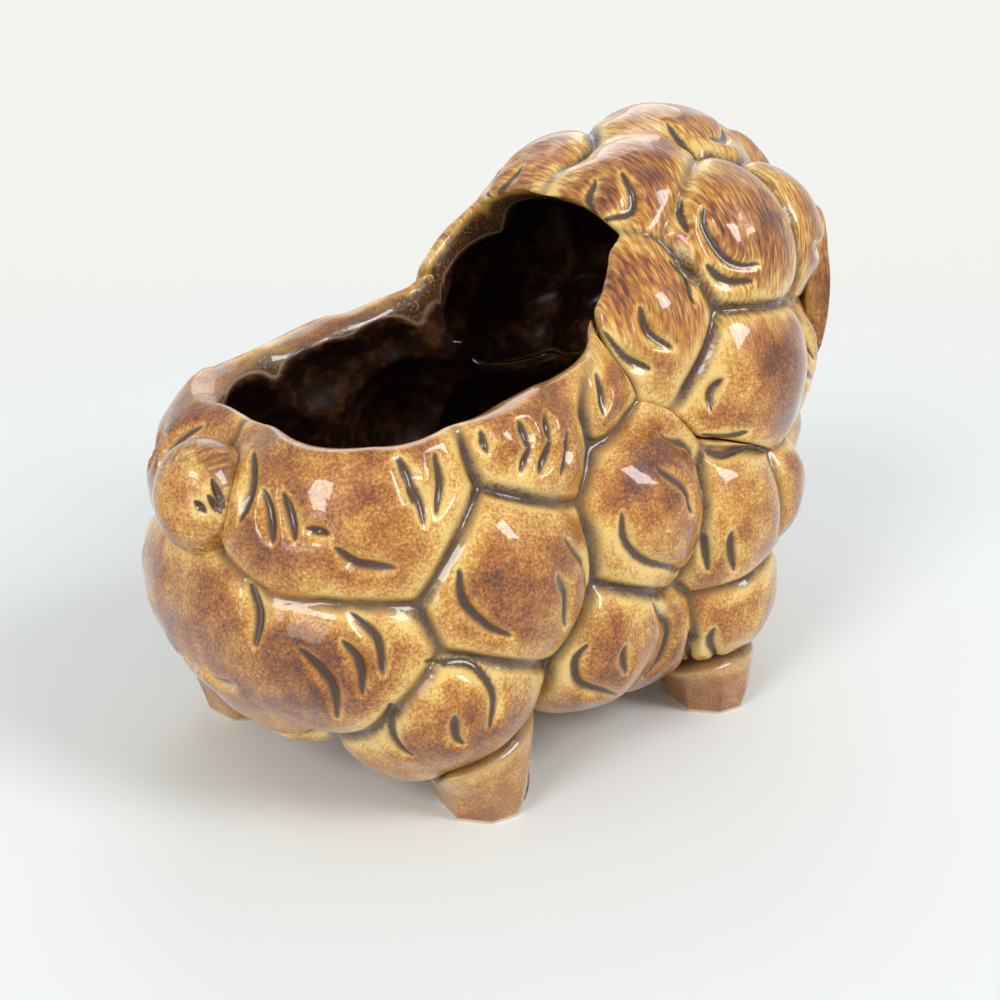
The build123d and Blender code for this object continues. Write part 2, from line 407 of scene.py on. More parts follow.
# Where the glaze changes: from, to, and the shares at both where they aren't 0 and 1. Heights are metres.
BRUSHED_HEIGHT = (0.080, 0.098)
HEIGHT_SHADE = (0.045, 0.125, 0.0, 0.06)
CRESCENT_SHADE = (1.2, 3.4, 0.30, 0.0)
POOL_REACH = (0.0, 2.1, 0.97, 0.0)
CUT_REACH = (0.50, 1.45, 0.95, 0.0)
SPECKLES = (0.53, 0.70)
RIM_SPECKLED = (0.12, 0.42)
RIM_PALE = (0.78, 0.90)
# Where the painted shade of the hollow turns from its near-black to its warmer flecks, as shares of the
# mottle.
HOLLOW_SHADE_FLECKS = (0.45, 0.70)
LINING_COAT = (0.2, 0.9, 1.0, 0.25)
WIPED_HEIGHT = (0.0004, 0.0011, 1.0, 0.0)
TAN_SHARE = 0.35
STREAK_EDGES = (0.34, 0.62)
STREAK_SHARE = 0.85
PUPIL_REACH = (2.3, 3.0, 1.0, 0.0)
GLOSS = {
    "Roughness": 0.38,
    "IOR": 1.38,
    "Coat Weight": 1.0,
    "Coat Roughness": 0.06,
    "Coat IOR": 1.45,
}

# The sockets for colours on a mix node.
MIX_A = 6
MIX_B = 7
MIX_RESULT = 2

# Where the sculpting fades in and out: depth below the skin of the solids, height, the rim's facing, and
# nearness to the rim from 0 to 1.
THROUGH_WALL = (0.4, WALL - 0.4)
RIM_OUTSIDE = (0.3, 0.7)
RIM_INSIDE = (WALL - 0.6, WALL - 0.2)
RIM_HEIGHT = (66, 70)
RIM_FACING = 0.85
RIM_TURN = (0, 0.3)
SKIN_DEPTH = (0.8, 2.6)
LINING_DEPTH = (WALL - 0.8, WALL - 0.2)
INSIDE_DEPTH = (WALL - 0.9, WALL - 0.3)
ROLL_DEPTH = (0.6, 1.6)
LIP_NEAR = (0.55, 0.95)
SMOOTH_NEAR = (0.15, 0.85)
ROLL_NEAR = (0.0, 0.7)
ROUND_NEAR = (0.25, 0.8)


def activate(piece):
    """Makes one piece the only selected and the active one."""
    bpy.ops.object.select_all(action="DESELECT")
    piece.select_set(True)
    bpy.context.view_layer.objects.active = piece


def clay_copy(node, name):
    """A copy of a CAD node with its corners merged, ready to be sculpted."""
    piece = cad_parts[node].copy()
    piece.data = piece.data.copy()
    piece.name = name
    piece.data.name = name
    for key in list(piece.keys()):
        del piece[key]
    piece.parent = None
    bpy.context.scene.collection.objects.link(piece)
    activate(piece)
    bpy.ops.object.mode_set(mode="EDIT")
    bpy.ops.mesh.select_all(action="SELECT")
    bpy.ops.mesh.remove_doubles(threshold=MERGE_GAP * MM)
    bpy.ops.object.mode_set(mode="OBJECT")
    return piece


def apply_modifier(piece, kind, **settings):
    activate(piece)
    modifier = piece.modifiers.new(kind.title(), kind)
    for key, value in settings.items():
        setattr(modifier, key, value)
    bpy.ops.object.modifier_apply(modifier=modifier.name)


def remesh(piece, voxel):
    apply_modifier(piece, "REMESH", mode="VOXEL", voxel_size=voxel * MM, use_smooth_shade=True)


def values_of(parts, key, width, kind=float):
    """One value of each corner or edge of a mesh, as rows."""
    flat = np.empty(len(parts) * width, kind)
    parts.foreach_get(key, flat)
    return flat.reshape(-1, width)


def points_of(piece):
    """The corners of a piece in millimetres."""
    return values_of(piece.data.vertices, "co", 3) / MM


def set_points(piece, points):
    piece.data.vertices.foreach_set("co", (points * MM).ravel())
    piece.data.update()


def normals_of(piece):
    return values_of(piece.data.vertices, "normal", 3)


def edges_of(piece):
    return values_of(piece.data.edges, "vertices", 2, int)


def blurred(values, edges, rounds, share=0.5, where=None):
    """Values of the corners, drawn towards their neighbours' mean a few times."""
    count = len(values)
    degree = np.bincount(edges.ravel(), minlength=count).clip(1)
    columns = values.reshape(count, -1).astype(float)
    for _ in range(rounds):
        for axis in range(columns.shape[1]):
            column = columns[:, axis]
            total = np.bincount(edges[:, 0], column[edges[:, 1]], count)
            total += np.bincount(edges[:, 1], column[edges[:, 0]], count)
            step = share * (total / degree - column)
            columns[:, axis] = column + (step if where is None else step * where)
    return columns.reshape(values.shape)


def unit(vectors):
    return vectors / np.linalg.norm(vectors, axis=-1, keepdims=True).clip(TINY)


def ease(values, low, high):
    """A soft step from 0 at low to 1 at high."""
    share = ((values - low) / (high - low)).clip(0, 1)
    return share * share * (3 - 2 * share)


def fade(distance, reach, start=0):
    """Falls from 1 towards 0 as a distance grows past a reach."""
    return np.exp(-(distance / reach).clip(start, FADE_END))


def bell(distance, width):
    """1 where the distance is 0, and next to nothing past twice the width."""
    return np.exp(-(distance / width) ** 2)


def taper(share, end, power):
    """How a stroke thins towards both its ends."""
    return np.sin(math.pi * (end + (1 - 2 * end) * share)) ** power


def store(piece, name, values):
    layer = piece.data.attributes.get(name) or piece.data.attributes.new(name, "FLOAT", "POINT")
    layer.data.foreach_set("value", np.asarray(values, np.float32))


def thin_out(piece, limit):
    """Collapses the flattest faces until the piece is under the limit of triangles."""
    piece.data.calc_loop_triangles()
    triangles = len(piece.data.loop_triangles)
    if triangles > limit:
        apply_modifier(piece, "DECIMATE", ratio=limit / triangles)


def finish_piece(piece, node, material):
    piece.data.materials.clear()
    piece.data.materials.append(material)
    activate(piece)
    bpy.ops.object.shade_smooth()
    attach(piece, "root")
    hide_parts(node)


def cone_reach(points, start, start_radius, end, end_radius):
    """Distance from a round cone's skin, and the way from its axis."""
    axis = end - start
    length = np.linalg.norm(axis)
    axis = axis / length
    offset = points - start
    along = offset @ axis
    across = np.linalg.norm(offset - along[:, None] * axis, axis=1)
    slope = (start_radius - end_radius) / length
    flank = math.sqrt(1 - slope * slope)
    share = ((along + across * slope / flank) / length).clip(0, 1)
    centre = start + share[:, None] * (end - start)
    radius = start_radius + share * (end_radius - start_radius)
    reach = points - centre
    distance = np.linalg.norm(reach, axis=1).clip(TINY)
    return distance - radius, reach / distance[:, None]


def segment_reach(points, start, end):
    """Distance from the line between two points, and how far along it that is, from 0 to 1."""
    run = end - start
    share = (((points - start) @ run) / max(run @ run, TINY)).clip(0, 1)
    return np.linalg.norm(points - start - share[:, None] * run, axis=1), share


def reshaped(balls, along, across, up, swell):
    """Balls shifted and swelled to where the photograph shows them."""
    shift = np.array([along, across, up])
    return [
        (start + shift, start_radius + swell, end + shift, end_radius + swell)
        for start, start_radius, end, end_radius in balls
    ]


def melted(reaches, melt, melt_share, sink):
    """Distance from the skin of balls that melt together, and the way from their middle."""
    low = np.min([distance for distance, _ in reaches], axis=0)
    total = np.zeros(len(low))
    way = np.zeros((len(low), 3))
    for distance, direction in reaches:
        weight = fade(distance - low, melt)
        total += weight
        way += weight[:, None] * direction
    return low - melt * np.log(total) * melt_share + sink, unit(way)


def spot(reach, across, lift):
    """A point given by its reach in front of the middle of the rump."""
    return np.array([RUMP_X + reach, across, lift], float)


class Fleece:
    """The curls as locks of balls, with the pieces that are luted on, and the distances between them."""

    def __init__(self):
        self.locks = {}
        rump = spot(0, 0, BODY_LIFT)
        chest = spot(BODY_SPAN, 0, BODY_LIFT - CHEST_DROP)
        neck = spot(NECK_REACH, 0, NECK_LIFT)
        crown = spot(CROWN_REACH, 0, CROWN_LIFT)
        self.cores = [
            (rump, BODY_RADIUS - CREASE_DEPTH, chest, CHEST_RADIUS - CREASE_DEPTH),
            (neck, NECK_RADIUS - CREASE_DEPTH, crown, CROWN_RADIUS - CREASE_DEPTH),
        ]
        self.add(BODY_CURLS, rump, BODY_SPAN, BODY_RADIUS, (-1, 1))
        self.add(MIDDLE_CURLS, rump, BODY_SPAN, BODY_RADIUS, (0,))
        self.add(LEFT_CURLS, rump, BODY_SPAN, BODY_RADIUS, (1,))
        self.add(HEAD_CURLS, crown, CROWN_RADIUS, CROWN_RADIUS, (-1, 1))
        self.add(MIDDLE_HEAD_CURLS, crown, CROWN_RADIUS, CROWN_RADIUS, (0,))
        self.fleece = list(self.locks)
        tail = spot(-TAIL_REACH, 0, TAIL_LIFT)
        self.locks["tail"] = [(tail, TAIL_RADIUS, tail + BALL_AXIS, TAIL_RADIUS)]
        self.locks["face"] = [(spot(*BROW), BROW_RADIUS, spot(*MUZZLE), MUZZLE_RADIUS)]
        for name, (reach, across) in STANCES.items():
            lean = THIGH_LEAN if across < 0 else -THIGH_LEAN
            hoof = spot(reach, across, SOLE_LIFT)
            thigh = spot(reach, across + lean, THIGH_LIFT)
            self.locks[name] = [(hoof, SOLE_RADIUS, thigh, THIGH_RADIUS)]

    def add(self, rows, centre, along, around, sides):
        for side in sides:
            for lock, forward, across, up, size in rows:
                place = centre + np.array([forward * along, side * across * around, up * around])
                key = lock if side == 0 or lock == "rump" else f"{lock}{side:+d}"
                key = "topknot" if key == "crest-1" else key
                radius = size * around
                self.locks.setdefault(key, []).append((place, radius, place + BALL_AXIS, radius))

    def survey(self, points):
        """What the sculpting needs to know of each point."""
        count = len(points)
        best = np.full(count, FAR)
        second = np.full(count, FAR)
        own = np.full(count, FAR)
        best_way = np.zeros((count, 3))
        second_way = np.zeros((count, 3))
        core = np.min([cone_reach(points, *cone)[0] for cone in self.cores], axis=0)
        hard = core.copy()
        flood = fade(core + FLOOD_DEPTH, RIM_FILL, FLOOD_START)
        for lock, balls in self.locks.items():
            reaches = [cone_reach(points, *ball) for ball in balls]
            if lock in self.fleece:
                hard = np.minimum(hard, np.min([distance for distance, _ in reaches], axis=0))
            if lock in RESHAPED:
                reaches = [cone_reach(points, *ball) for ball in reshaped(balls, *RESHAPED[lock])]
            if lock == "rump":
                soft, way = melted(reaches, RUMP_MELT, 1.0, RUMP_SINK)
            else:
                soft, way = melted(reaches, MELT, MELT_SHARE, 0.0)
            if lock in self.fleece:
                own = np.minimum(own, soft)
                flood += fade(soft + FLOOD_DEPTH, RIM_FILL, FLOOD_START)
            nearer = soft < best
            runner_up = ~nearer & (soft < second)
            second = np.where(nearer, best, np.where(runner_up, soft, second))
            second_way = np.where(nearer[:, None], best_way, np.where(runner_up[:, None], way, second_way))
            best = np.where(nearer, soft, best)
            best_way = np.where(nearer[:, None], way, best_way)
        low = np.minimum(own, core)
        filled = fade(own - low, FILL) + fade(core - low, FILL)
        opening = np.linalg.norm(second_way - best_way, axis=1)
        blend = fade(second - best, MELT)
        return {
            "hard": hard,
            "wanted": low - FILL * np.log(filled),
            "flooded": -FLOOD_DEPTH - RIM_FILL * np.log(flood) + FLOOD_SINK,
            "valley": (second - best) / opening.clip(LEAST_OPENING),
            "crease": ease(opening, *CREASE_OPENING),
            "way": unit(best_way + blend[:, None] * second_way),
        }


def pixel_ray(pixel):
    """The camera's place and the direction of one pixel of the photograph."""
    azimuth = math.radians(CAMERA_AZIMUTH)
    elevation = math.radians(CAMERA_ELEVATION)
    back = Vector((
        math.sin(azimuth) * math.cos(elevation),
        -math.cos(azimuth) * math.cos(elevation),
        math.sin(elevation),
    ))
    right = Vector((math.cos(azimuth), math.sin(azimuth), 0))
    up = back.cross(right)
    focal = LENS_MM / SENSOR_MM * FRAME_PIXELS
    across = (pixel[0] - FRAME_PIXELS / 2) / focal
    down = (pixel[1] - FRAME_PIXELS / 2) / focal
    return Vector(CAMERA_PLACE), (right * across - up * down - back).normalized()


def smooth_line(points, step):
    """Points along a Catmull-Rom curve through the given ones, about a step apart."""
    points = [np.array(point, float) for point in points]
    padded = [2 * points[0] - points[1]] + points + [2 * points[-1] - points[-2]]
    line = []
    for index in range(1, len(padded) - 2):
        before, start, end, after = padded[index - 1:index + 3]
        steps = max(2, int(np.linalg.norm(end - start) / step))
        for number in range(steps):
            t = number / steps
            line.append(0.5 * (
                2 * start + (end - before) * t
                + (2 * before - 5 * start + 4 * end - after) * t * t
                + (3 * start - before - 3 * end + after) * t ** 3
            ))
    line.append(points[-1])
    return line


def skin_trees():
    """The casting's skins, to lay strokes on."""
    skins = []
    for node in ("body_shell", "head_shell"):
        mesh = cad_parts[node].data
        corners = [corner.co.copy() for corner in mesh.vertices]
        faces = [tuple(face.vertices) for face in mesh.polygons]
        skins.append(BVHTree.FromPolygons(corners, faces))
    return skins


def on_skin(skins, point):
    """The point of the skin that is nearest to a place in millimetres."""
    near = [skin.find_nearest(Vector(point) * MM) for skin in skins]
    return np.array(min(near, key=lambda hit: hit[3])[0]) / MM


def crescent_lines(skins):
    """The crescents as lines on the skin, in millimetres: the right side's, and their mirror images."""
    lines = []
    for stroke in CRESCENTS:
        line = []
        for pixel in smooth_line(stroke, STROKE_STEP):
            origin, direction = pixel_ray(pixel)
            hits = [skin.ray_cast(origin, direction) for skin in skins]
            hits = [hit for hit in hits if hit[0] is not None]
            if hits:
                line.append(np.array(min(hits, key=lambda hit: hit[3])[0]) / MM)
        if len(line) < LEAST_POINTS:
            continue
        lines.append(np.array(line))
        lines.append(np.array([on_skin(skins, point * (1, -1, 1)) for point in line]))
    return lines


def ring_lines(skins):
    """Crescents on the curls that the photograph doesn't show, as arcs of rings about a look direction."""
    lines = []
    for place, radius, look, opening, start, end in RING_CRESCENTS:
        mirrored = look[1] != 0 or place[1] != 0
        for side in (1, -1) if mirrored else (1,):
            axis = unit(np.array(look) * (1, side, 1))
            level = unit(np.cross(axis, (0, 0, 1)))
            upright = np.cross(level, axis)
            centre = np.array(place) * (1, side, 1)
            line = []
            for angle in np.radians(np.linspace(start, end, RING_POINTS)):
                spread = math.cos(angle) * upright + math.sin(angle) * level * side
                ring = math.cos(math.radians(opening)) * axis + math.sin(math.radians(opening)) * spread
                line.append(on_skin(skins, centre + radius * ring))
            lines.append(np.array(line))
    return lines


def crescent_cut(points, lines):
    """How deep crescents cut at each point, as a share below 0 on their lips, and how far the nearest is."""
    depth = np.zeros(len(points))
    nearest = np.full(len(points), MARK_LIMIT)
    for line in lines:
        low = line.min(0) - CRESCENT_REACH
        high = line.max(0) + CRESCENT_REACH
        chosen = np.flatnonzero(((points > low) & (points < high)).all(1))
        if not len(chosen):
            continue
        local = points[chosen]
        gap = np.full(len(local), FAR)
        share = np.zeros(len(local))
        count = len(line) - 1
        for index in range(count):
            distance, t = segment_reach(local, line[index], line[index + 1])
            closer = distance < gap
            gap = np.where(closer, distance, gap)
            share = np.where(closer, (index + t) / count, share)
        thinned = taper(share, *CRESCENT_TAPER)
        size = min(np.linalg.norm(line[-1] - line[0]) / SHORT_STROKE, 1) ** SHORT_STROKE_POWER
        width = CRESCENT_WIDTH * (CRESCENT_TIP + (1 - CRESCENT_TIP) * thinned) * size
        cut = thinned * bell(gap, width)
        lip = -CRESCENT_LIP * thinned * bell(gap - LIP_PLACE * width, LIP_SPREAD * width)
        total = cut + lip
        depth[chosen] = np.where(np.abs(total) > np.abs(depth[chosen]), total, depth[chosen])
        nearest[chosen] = np.minimum(nearest[chosen], gap * CRESCENT_WIDTH / width)
    return depth, nearest


def wobble(points):
    """The slight unevenness of hand-modelled clay, as waves in scattered directions."""
    total = np.zeros(len(points))
    for number in range(WAVES):
        turn = WAVE_TURN * number
        way = np.array([math.cos(turn), math.sin(turn), math.cos(WAVE_TILT * turn + WAVE_LEAN)])
        total += np.sin(points @ way * (WAVE_RATE + WAVE_STEP * number) + WAVE_PHASE * number)
    return total / WAVE_SCALE


def nearness(points, chosen, reach):
    """How near each point lies to the chosen ones, from 1 on them to 0 at a reach."""
    spread = np.flatnonzero(chosen)[::NEAR_STRIDE]
    tree = KDTree(len(spread))
    for index, number in enumerate(spread):
        tree.insert(points[number], index)
    tree.balance()
    low = points[spread].min(0) - reach
    high = points[spread].max(0) + reach
    share = np.zeros(len(points))
    for number in np.flatnonzero(((points > low) & (points < high)).all(1)):
        share[number] = 1 - min(tree.find(points[number])[2] / reach, 1)
    return share


def corner_push(first, second, radius):
    """The way back to a rounded corner from a point beyond its middle, along two directions."""
    first = first.clip(0, None)
    second = second.clip(0, None)
    reach = np.hypot(first, second).clip(TINY)
    excess = (reach - radius).clip(-RIM_PULL, None)
    return -excess * first / reach, -excess * second / reach


def mouth_gap(points):
    """The way to the smooth outline of the mouth from a point of the wall around it."""
    middle = RUMP_X + (THROAT_REAR + THROAT_FRONT) / 2
    half = (THROAT_FRONT - THROAT_REAR) / 2
    along = points[:, 0] - middle
    across = points[:, 1]
    back, aside = corner_push(
        np.abs(along) - (half - THROAT_CORNER),
        np.abs(across) - (THROAT_HALF_WIDTH - THROAT_CORNER),
        THROAT_CORNER,
    )
    throat = np.column_stack([back * np.sign(along), aside * np.sign(across), np.zeros(len(points))])
    aside, down = corner_push(
        np.abs(across) - (WINDOW_HALF_WIDTH - WINDOW_CORNER),
        points[:, 2] - (WINDOW_LIFT - WINDOW_CORNER),
        WINDOW_CORNER,
    )
    arch = np.column_stack([np.zeros(len(points)), aside * np.sign(across), down])
    window = ease(points[:, 2], *WINDOW_START)[:, None]
    gap = throat * (1 - window) + arch * window
    length = np.linalg.norm(gap, axis=1).clip(TINY)
    return gap * (length.clip(0, RIM_PUSH) / length)[:, None]


def sculpt_fleece(piece, fleece, lines):
    """Melts each lock, cuts valleys and crescents, rounds the rim, and stores what the glaze needs."""
    points = points_of(piece)
    edges = edges_of(piece)
    found = fleece.survey(points)
    hard = found["hard"]
    facing = (normals_of(piece) * found["way"]).sum(1)
    depth = ease(-hard, *THROUGH_WALL)
    lip = ease(-hard, *RIM_OUTSIDE) * (1 - ease(-hard, *RIM_INSIDE)) * ease(RIM_FACING - facing, *RIM_TURN)
    lip *= ease(points[:, 2], *RIM_HEIGHT)
    near = nearness(points, lip > 0.5, RIM_REACH)
    near_lip = ease(near, *LIP_NEAR)
    outer = 1 - ease(-hard, *SKIN_DEPTH)
    cut, crescent = crescent_cut(points, lines)
    groove = VALLEY_DEPTH * bell(found["valley"], VALLEY_WIDTH) * found["crease"]
    carved = (groove + CRESCENT_DEPTH * cut + WOBBLE * wobble(points)) * outer
    smooth = ease(near, *SMOOTH_NEAR) * (1 - depth)
    wanted = found["wanted"] * (1 - smooth) + np.minimum(found["wanted"], found["flooded"]) * smooth
    change = wanted - hard + carved * (1 - (1 - LIP_CARVED) * near_lip)
    rolled = ease(near, *ROLL_NEAR) * depth
    change = change * (1 - rolled)
    points = points - change[:, None] * found["way"] + rolled[:, None] * mouth_gap(points)
    points[:, 2] -= RIM_SLOPE * depth * near_lip
    points = blurred(points, edges, SETTLE_ROUNDS, SETTLE_SHARE)
    rolled_in = ease(near, *ROUND_NEAR) * ease(-hard, *ROLL_DEPTH)
    lined = LINED * ease(-hard, *LINING_DEPTH)
    points = blurred(points, edges, RIM_ROUNDS, where=np.maximum.reduce([near_lip, rolled_in, lined]))
    set_points(piece, points)

    marks = {
        "valley": (found["valley"].clip(0, VALLEY_LIMIT), 3),
        "crease": (found["crease"] * (1 - (1 - LIP_CREASED) * near_lip), 3),
        "crescent": (crescent.clip(0, MARK_LIMIT), 2),
        # The inner wall, which the glaze paints with the hollow's shade and gives a thinner coat.
        "inside": (ease(-hard, *INSIDE_DEPTH), 2),
        "band": (lip, 3),
        "across": ((-hard / WALL).clip(0, 1), 1),
    }
    for mark, (values, rounds) in marks.items():
        store(piece, mark, blurred(values, edges, rounds))


def fleece_piece(node, name, fleece, lines, glaze):
    piece = clay_copy(node, name)
    remesh(piece, SKIN_VOXEL)
    sculpt_fleece(piece, fleece, lines)
    thin_out(piece, TRIANGLE_LIMIT)
    finish_piece(piece, node, glaze)


def small_piece(node, name, fleece, shape):
    """A luted piece, sculpted by its own function of the points and how far each lies above the fleece.
    What the fleece hides is pushed further in."""
    piece = clay_copy(node, name)
    remesh(piece, SMALL_VOXEL)
    points = points_of(piece)
    edges = edges_of(piece)
    found = fleece.survey(points)
    buried = 1 - ease(found["hard"], *TUCKED)
    shaped, marks = shape(points, found["hard"])
    shaped = shaped - (TUCK * buried)[:, None] * found["way"]
    set_points(piece, blurred(shaped, edges, SETTLE_ROUNDS, SETTLE_SHARE))
    plain = {
        "valley": found["hard"].clip(0, MARK_LIMIT),
        "crease": np.ones(len(points)),
        "crescent": np.full(len(points), MARK_LIMIT),
    }
    plain.update(marks)
    for key, values in plain.items():
        store(piece, key, blurred(values, edges, 1))
    thin_out(piece, SMALL_LIMIT)
    return piece


def carve(points, lines, depth, width):
    """How far strokes given as lines of points cut into the clay, and the distance to the nearest one."""
    cut = np.zeros(len(points))
    nearest = np.full(len(points), MARK_LIMIT)
    for line in lines:
        line = np.array(line, float)
        count = len(line) - 1
        for index in range(count):
            gap, t = segment_reach(points, line[index], line[index + 1])
            thinned = taper((index + t) / count, *STROKE_TAPER)
            cut = np.maximum(cut, depth * thinned * bell(gap, width * thinned))
            nearest = np.minimum(nearest, gap / thinned)
    return cut, nearest


def tail_shape(points, above):
    """A flattened knob with a dimple and three slits, brushed dark around its edge."""
    centre = spot(-TAIL_REACH, 0, TAIL_LIFT)
    way = unit(points - centre)
    moved = centre + TAIL_SHIFT
    knob = moved + (points - centre) * TAIL_STRETCH
    radii = TAIL_RADIUS * TAIL_STRETCH
    slits = [[moved + radii * unit(np.array(look)) for look in slit] for slit in TAIL_SLITS]
    cut, nearest = carve(knob, [smooth_line(slit, SLIT_STEP) for slit in slits], *TAIL_CUT)
    aside = 1 - way @ unit(np.array(TAIL_LOOK))
    knob = knob - (cut + DIMPLE_DEPTH * bell(aside, DIMPLE_SPREAD))[:, None] * way
    return knob, {"crescent": nearest, "edge": ease(aside, *TAIL_EDGE)}


def leg_shape(stance):
    """A hoof pared to flat facets near the sole, with a crease where the cleft runs up."""
    def shape(points, above):
        reach, across = stance
        side = 1 if across > 0 else -1
        centre = spot(reach, across, 0)[:2]
        height = points[:, 2]
        offset = (points[:, :2] - centre) * (1, side)
        flare = (height - FLARE_START).clip(0, FLARE_HEIGHT) * ease(above, *FLARE_JOINT)
        back_flare = FLARE if side > 0 else RIGHT_BACK_FLARE
        offset[:, 0] *= 1 + flare * np.where(offset[:, 0] < 0, back_flare, FLARE)
        offset[:, 1] *= 1 + flare * SIDE_FLARE
        pared = 1 - ease(height, *FACET_FADE)
        for azimuth, room in HOOF_FACETS:
            way = np.array([math.cos(math.radians(azimuth)), math.sin(math.radians(azimuth))])
            over = (offset @ way - room - FACET_SLOPE * height).clip(0, None)
            offset = offset - (over * pared)[:, None] * way
        shaped = points.copy()
        shaped[:, :2] = centre + offset * (1, side)
        turn = math.radians(CLEFT_TURN)
        front = centre + SOLE_RADIUS * np.array([math.cos(turn), side * math.sin(turn)])
        crease = [(front[0] + back, front[1], lift) for back, lift in CLEFT_CREASE]
        cut, nearest = carve(shaped, [crease], *CLEFT_CUT)
        shaped[:, :2] -= cut[:, None] * unit(front - centre)
        cleft = np.linalg.norm(shaped[:, :2] - front, axis=1)
        cleft = cleft + CLEFT_SLOPE * (height - CLEFT_HEIGHT).clip(0, None) - CLEFT_RADIUS * CLEFT_MARGIN
        return shaped, {"crescent": np.minimum(nearest, cleft.clip(0, MARK_LIMIT))}
    return shape


def ear_shape(side):
    """A drooping leaf, hollowed a little on the outside."""
    def shape(points, above):
        root = spot(EAR_ROOT[0], side * EAR_ROOT[1], EAR_ROOT[2])
        tip = spot(EAR_TIP[0], side * EAR_TIP[1], EAR_TIP[2])
        axis = unit(tip - root)
        look = unit(np.array(EAR_LOOK) * (1, side, 1))
        offset = points - root
        along = offset @ axis
        across = np.linalg.norm(offset - along[:, None] * axis - (offset @ look)[:, None] * look, axis=1)
        outside = ease((points - (root + tip) / 2) @ look, *EAR_OUTSIDE)
        hollow = outside * (1 - ease(across, *EAR_ACROSS)) * ease(along, *EAR_ALONG)
        return points - (EAR_HOLLOW * hollow)[:, None] * look, {"edge": hollow}
    return shape


def looking(centre, radius, look, side):
    return centre + radius * unit(np.array(look, float) * (1, side, 1))


def face_shape(points, above):
    """A calm lamb's face: the solid brings eyes and nostrils, and gets sockets, lids, a nose and a mouth."""
    brow = spot(*BROW)
    muzzle = spot(*MUZZLE)
    way = cone_reach(points, brow, BROW_RADIUS, muzzle, MUZZLE_RADIUS)[1]
    change = np.zeros(len(points))
    pupil = np.full(len(points), MARK_LIMIT)
    strokes = []
    for side in (-1, 1):
        eye = looking(brow, BROW_RADIUS, EYE_LOOK, side)
        reach = np.linalg.norm(points - eye, axis=1)
        change -= SOCKET_DEPTH * bell(reach - EYE_REACH, SOCKET_WIDTH)
        pupil = np.minimum(pupil, reach)
        lid = [np.array(EYE_LOOK) + step for step in LID_STEPS]
        strokes.append([looking(brow, BROW_RADIUS, look, side) for look in lid])
        strokes.append([looking(muzzle, MUZZLE_RADIUS, look, side) for look in MOUTH_LOOKS])
    strokes.append([looking(muzzle, MUZZLE_RADIUS, look, 1) for look in PHILTRUM_LOOKS])
    nose = looking(muzzle, MUZZLE_RADIUS, NOSE_LOOK, 1)
    change += NOSE_HEIGHT * bell(np.linalg.norm((points - nose) * NOSE_SHARES, axis=1), NOSE_WIDTH)
    cut, nearest = carve(points, strokes, *FACE_CUT)
    shaped = points + (change - cut)[:, None] * way
    return shaped, {"crescent": nearest, "pupil": pupil}


class Shader:
    """A material under construction."""

    def __init__(self, name):
        self.material = bpy.data.materials.new(name)
        self.material.use_nodes = True
        self.tree = self.material.node_tree
        self.shader = self.tree.nodes["Principled BSDF"]
        self.place = self.tree.nodes.new("ShaderNodeTexCoord").outputs["Object"]

    def set(self, values):
        for key, value in values.items():
            self.shader.inputs[key].default_value = value

    def link(self, source, target):
        self.tree.links.new(source, target)

    def number(self, operation, first, second=None, third=None):
        node = self.tree.nodes.new("ShaderNodeMath")
        node.operation = operation
        for socket, value in zip(node.inputs, (first, second, third)):
            if value is None:
                continue
            if isinstance(value, (int, float)):
                socket.default_value = value
            else:
                self.link(value, socket)
        return node.outputs[0]

    def attribute(self, name):
        node = self.tree.nodes.new("ShaderNodeAttribute")
        node.attribute_name = name
        return node.outputs["Fac"]

    def axis(self, index):
        node = self.tree.nodes.new("ShaderNodeSeparateXYZ")
        self.link(self.place, node.inputs[0])
        return node.outputs[index]

    def noise(self, size, detail, roughness, stretch=(1, 1, 1), turn=(0, 0, 0)):
        """Noise whose features are about a size in metres."""
        mapping = self.tree.nodes.new("ShaderNodeMapping")
        mapping.inputs["Rotation"].default_value = turn
        mapping.inputs["Scale"].default_value = stretch
        self.link(self.place, mapping.inputs["Vector"])
        node = self.tree.nodes.new("ShaderNodeTexNoise")
        node.inputs["Scale"].default_value = 1 / size
        node.inputs["Detail"].default_value = detail
        node.inputs["Roughness"].default_value = roughness
        self.link(mapping.outputs[0], node.inputs["Vector"])
        return node.outputs[0]

    def between(self, value, low, high, bottom=0.0, top=1.0):
        node = self.tree.nodes.new("ShaderNodeMapRange")
        node.interpolation_type = "SMOOTHSTEP"
        for key, number in (("From Min", low), ("From Max", high), ("To Min", bottom), ("To Max", top)):
            node.inputs[key].default_value = number
        self.link(value, node.inputs["Value"])
        return node.outputs[0]

    def swing(self, value, amount, onto):
        """Adds a noise's swing about its middle to another value."""
        return self.number("MULTIPLY_ADD", self.number("SUBTRACT", value, 0.5), amount, onto)

    def ramp(self, value, stops):
        node = self.tree.nodes.new("ShaderNodeValToRGB")
        elements = node.color_ramp.elements
        while len(elements) < len(stops):
            elements.new(0.5)
        for element, (position, colour) in zip(elements, stops):
            element.position = position
            element.color = (*colour, 1)
        self.link(value, node.inputs[0])
        return node.outputs[0]

    def mix(self, share, first, second):
        node = self.tree.nodes.new("ShaderNodeMix")
        node.data_type = "RGBA"
        if isinstance(share, float):
            node.inputs[0].default_value = share
        else:
            self.link(share, node.inputs[0])
        for number, value in ((MIX_A, first), (MIX_B, second)):
            if isinstance(value, tuple):
                node.inputs[number].default_value = (*value, 1)
            else:
                self.link(value, node.inputs[number])
        return node.outputs[MIX_RESULT]

    def bump(self, height, distance):
        node = self.tree.nodes.new("ShaderNodeBump")
        node.inputs["Strength"].default_value = 1.0
        node.inputs["Distance"].default_value = distance
        self.link(height, node.inputs["Height"])
        self.link(node.outputs[0], self.shader.inputs["Normal"])


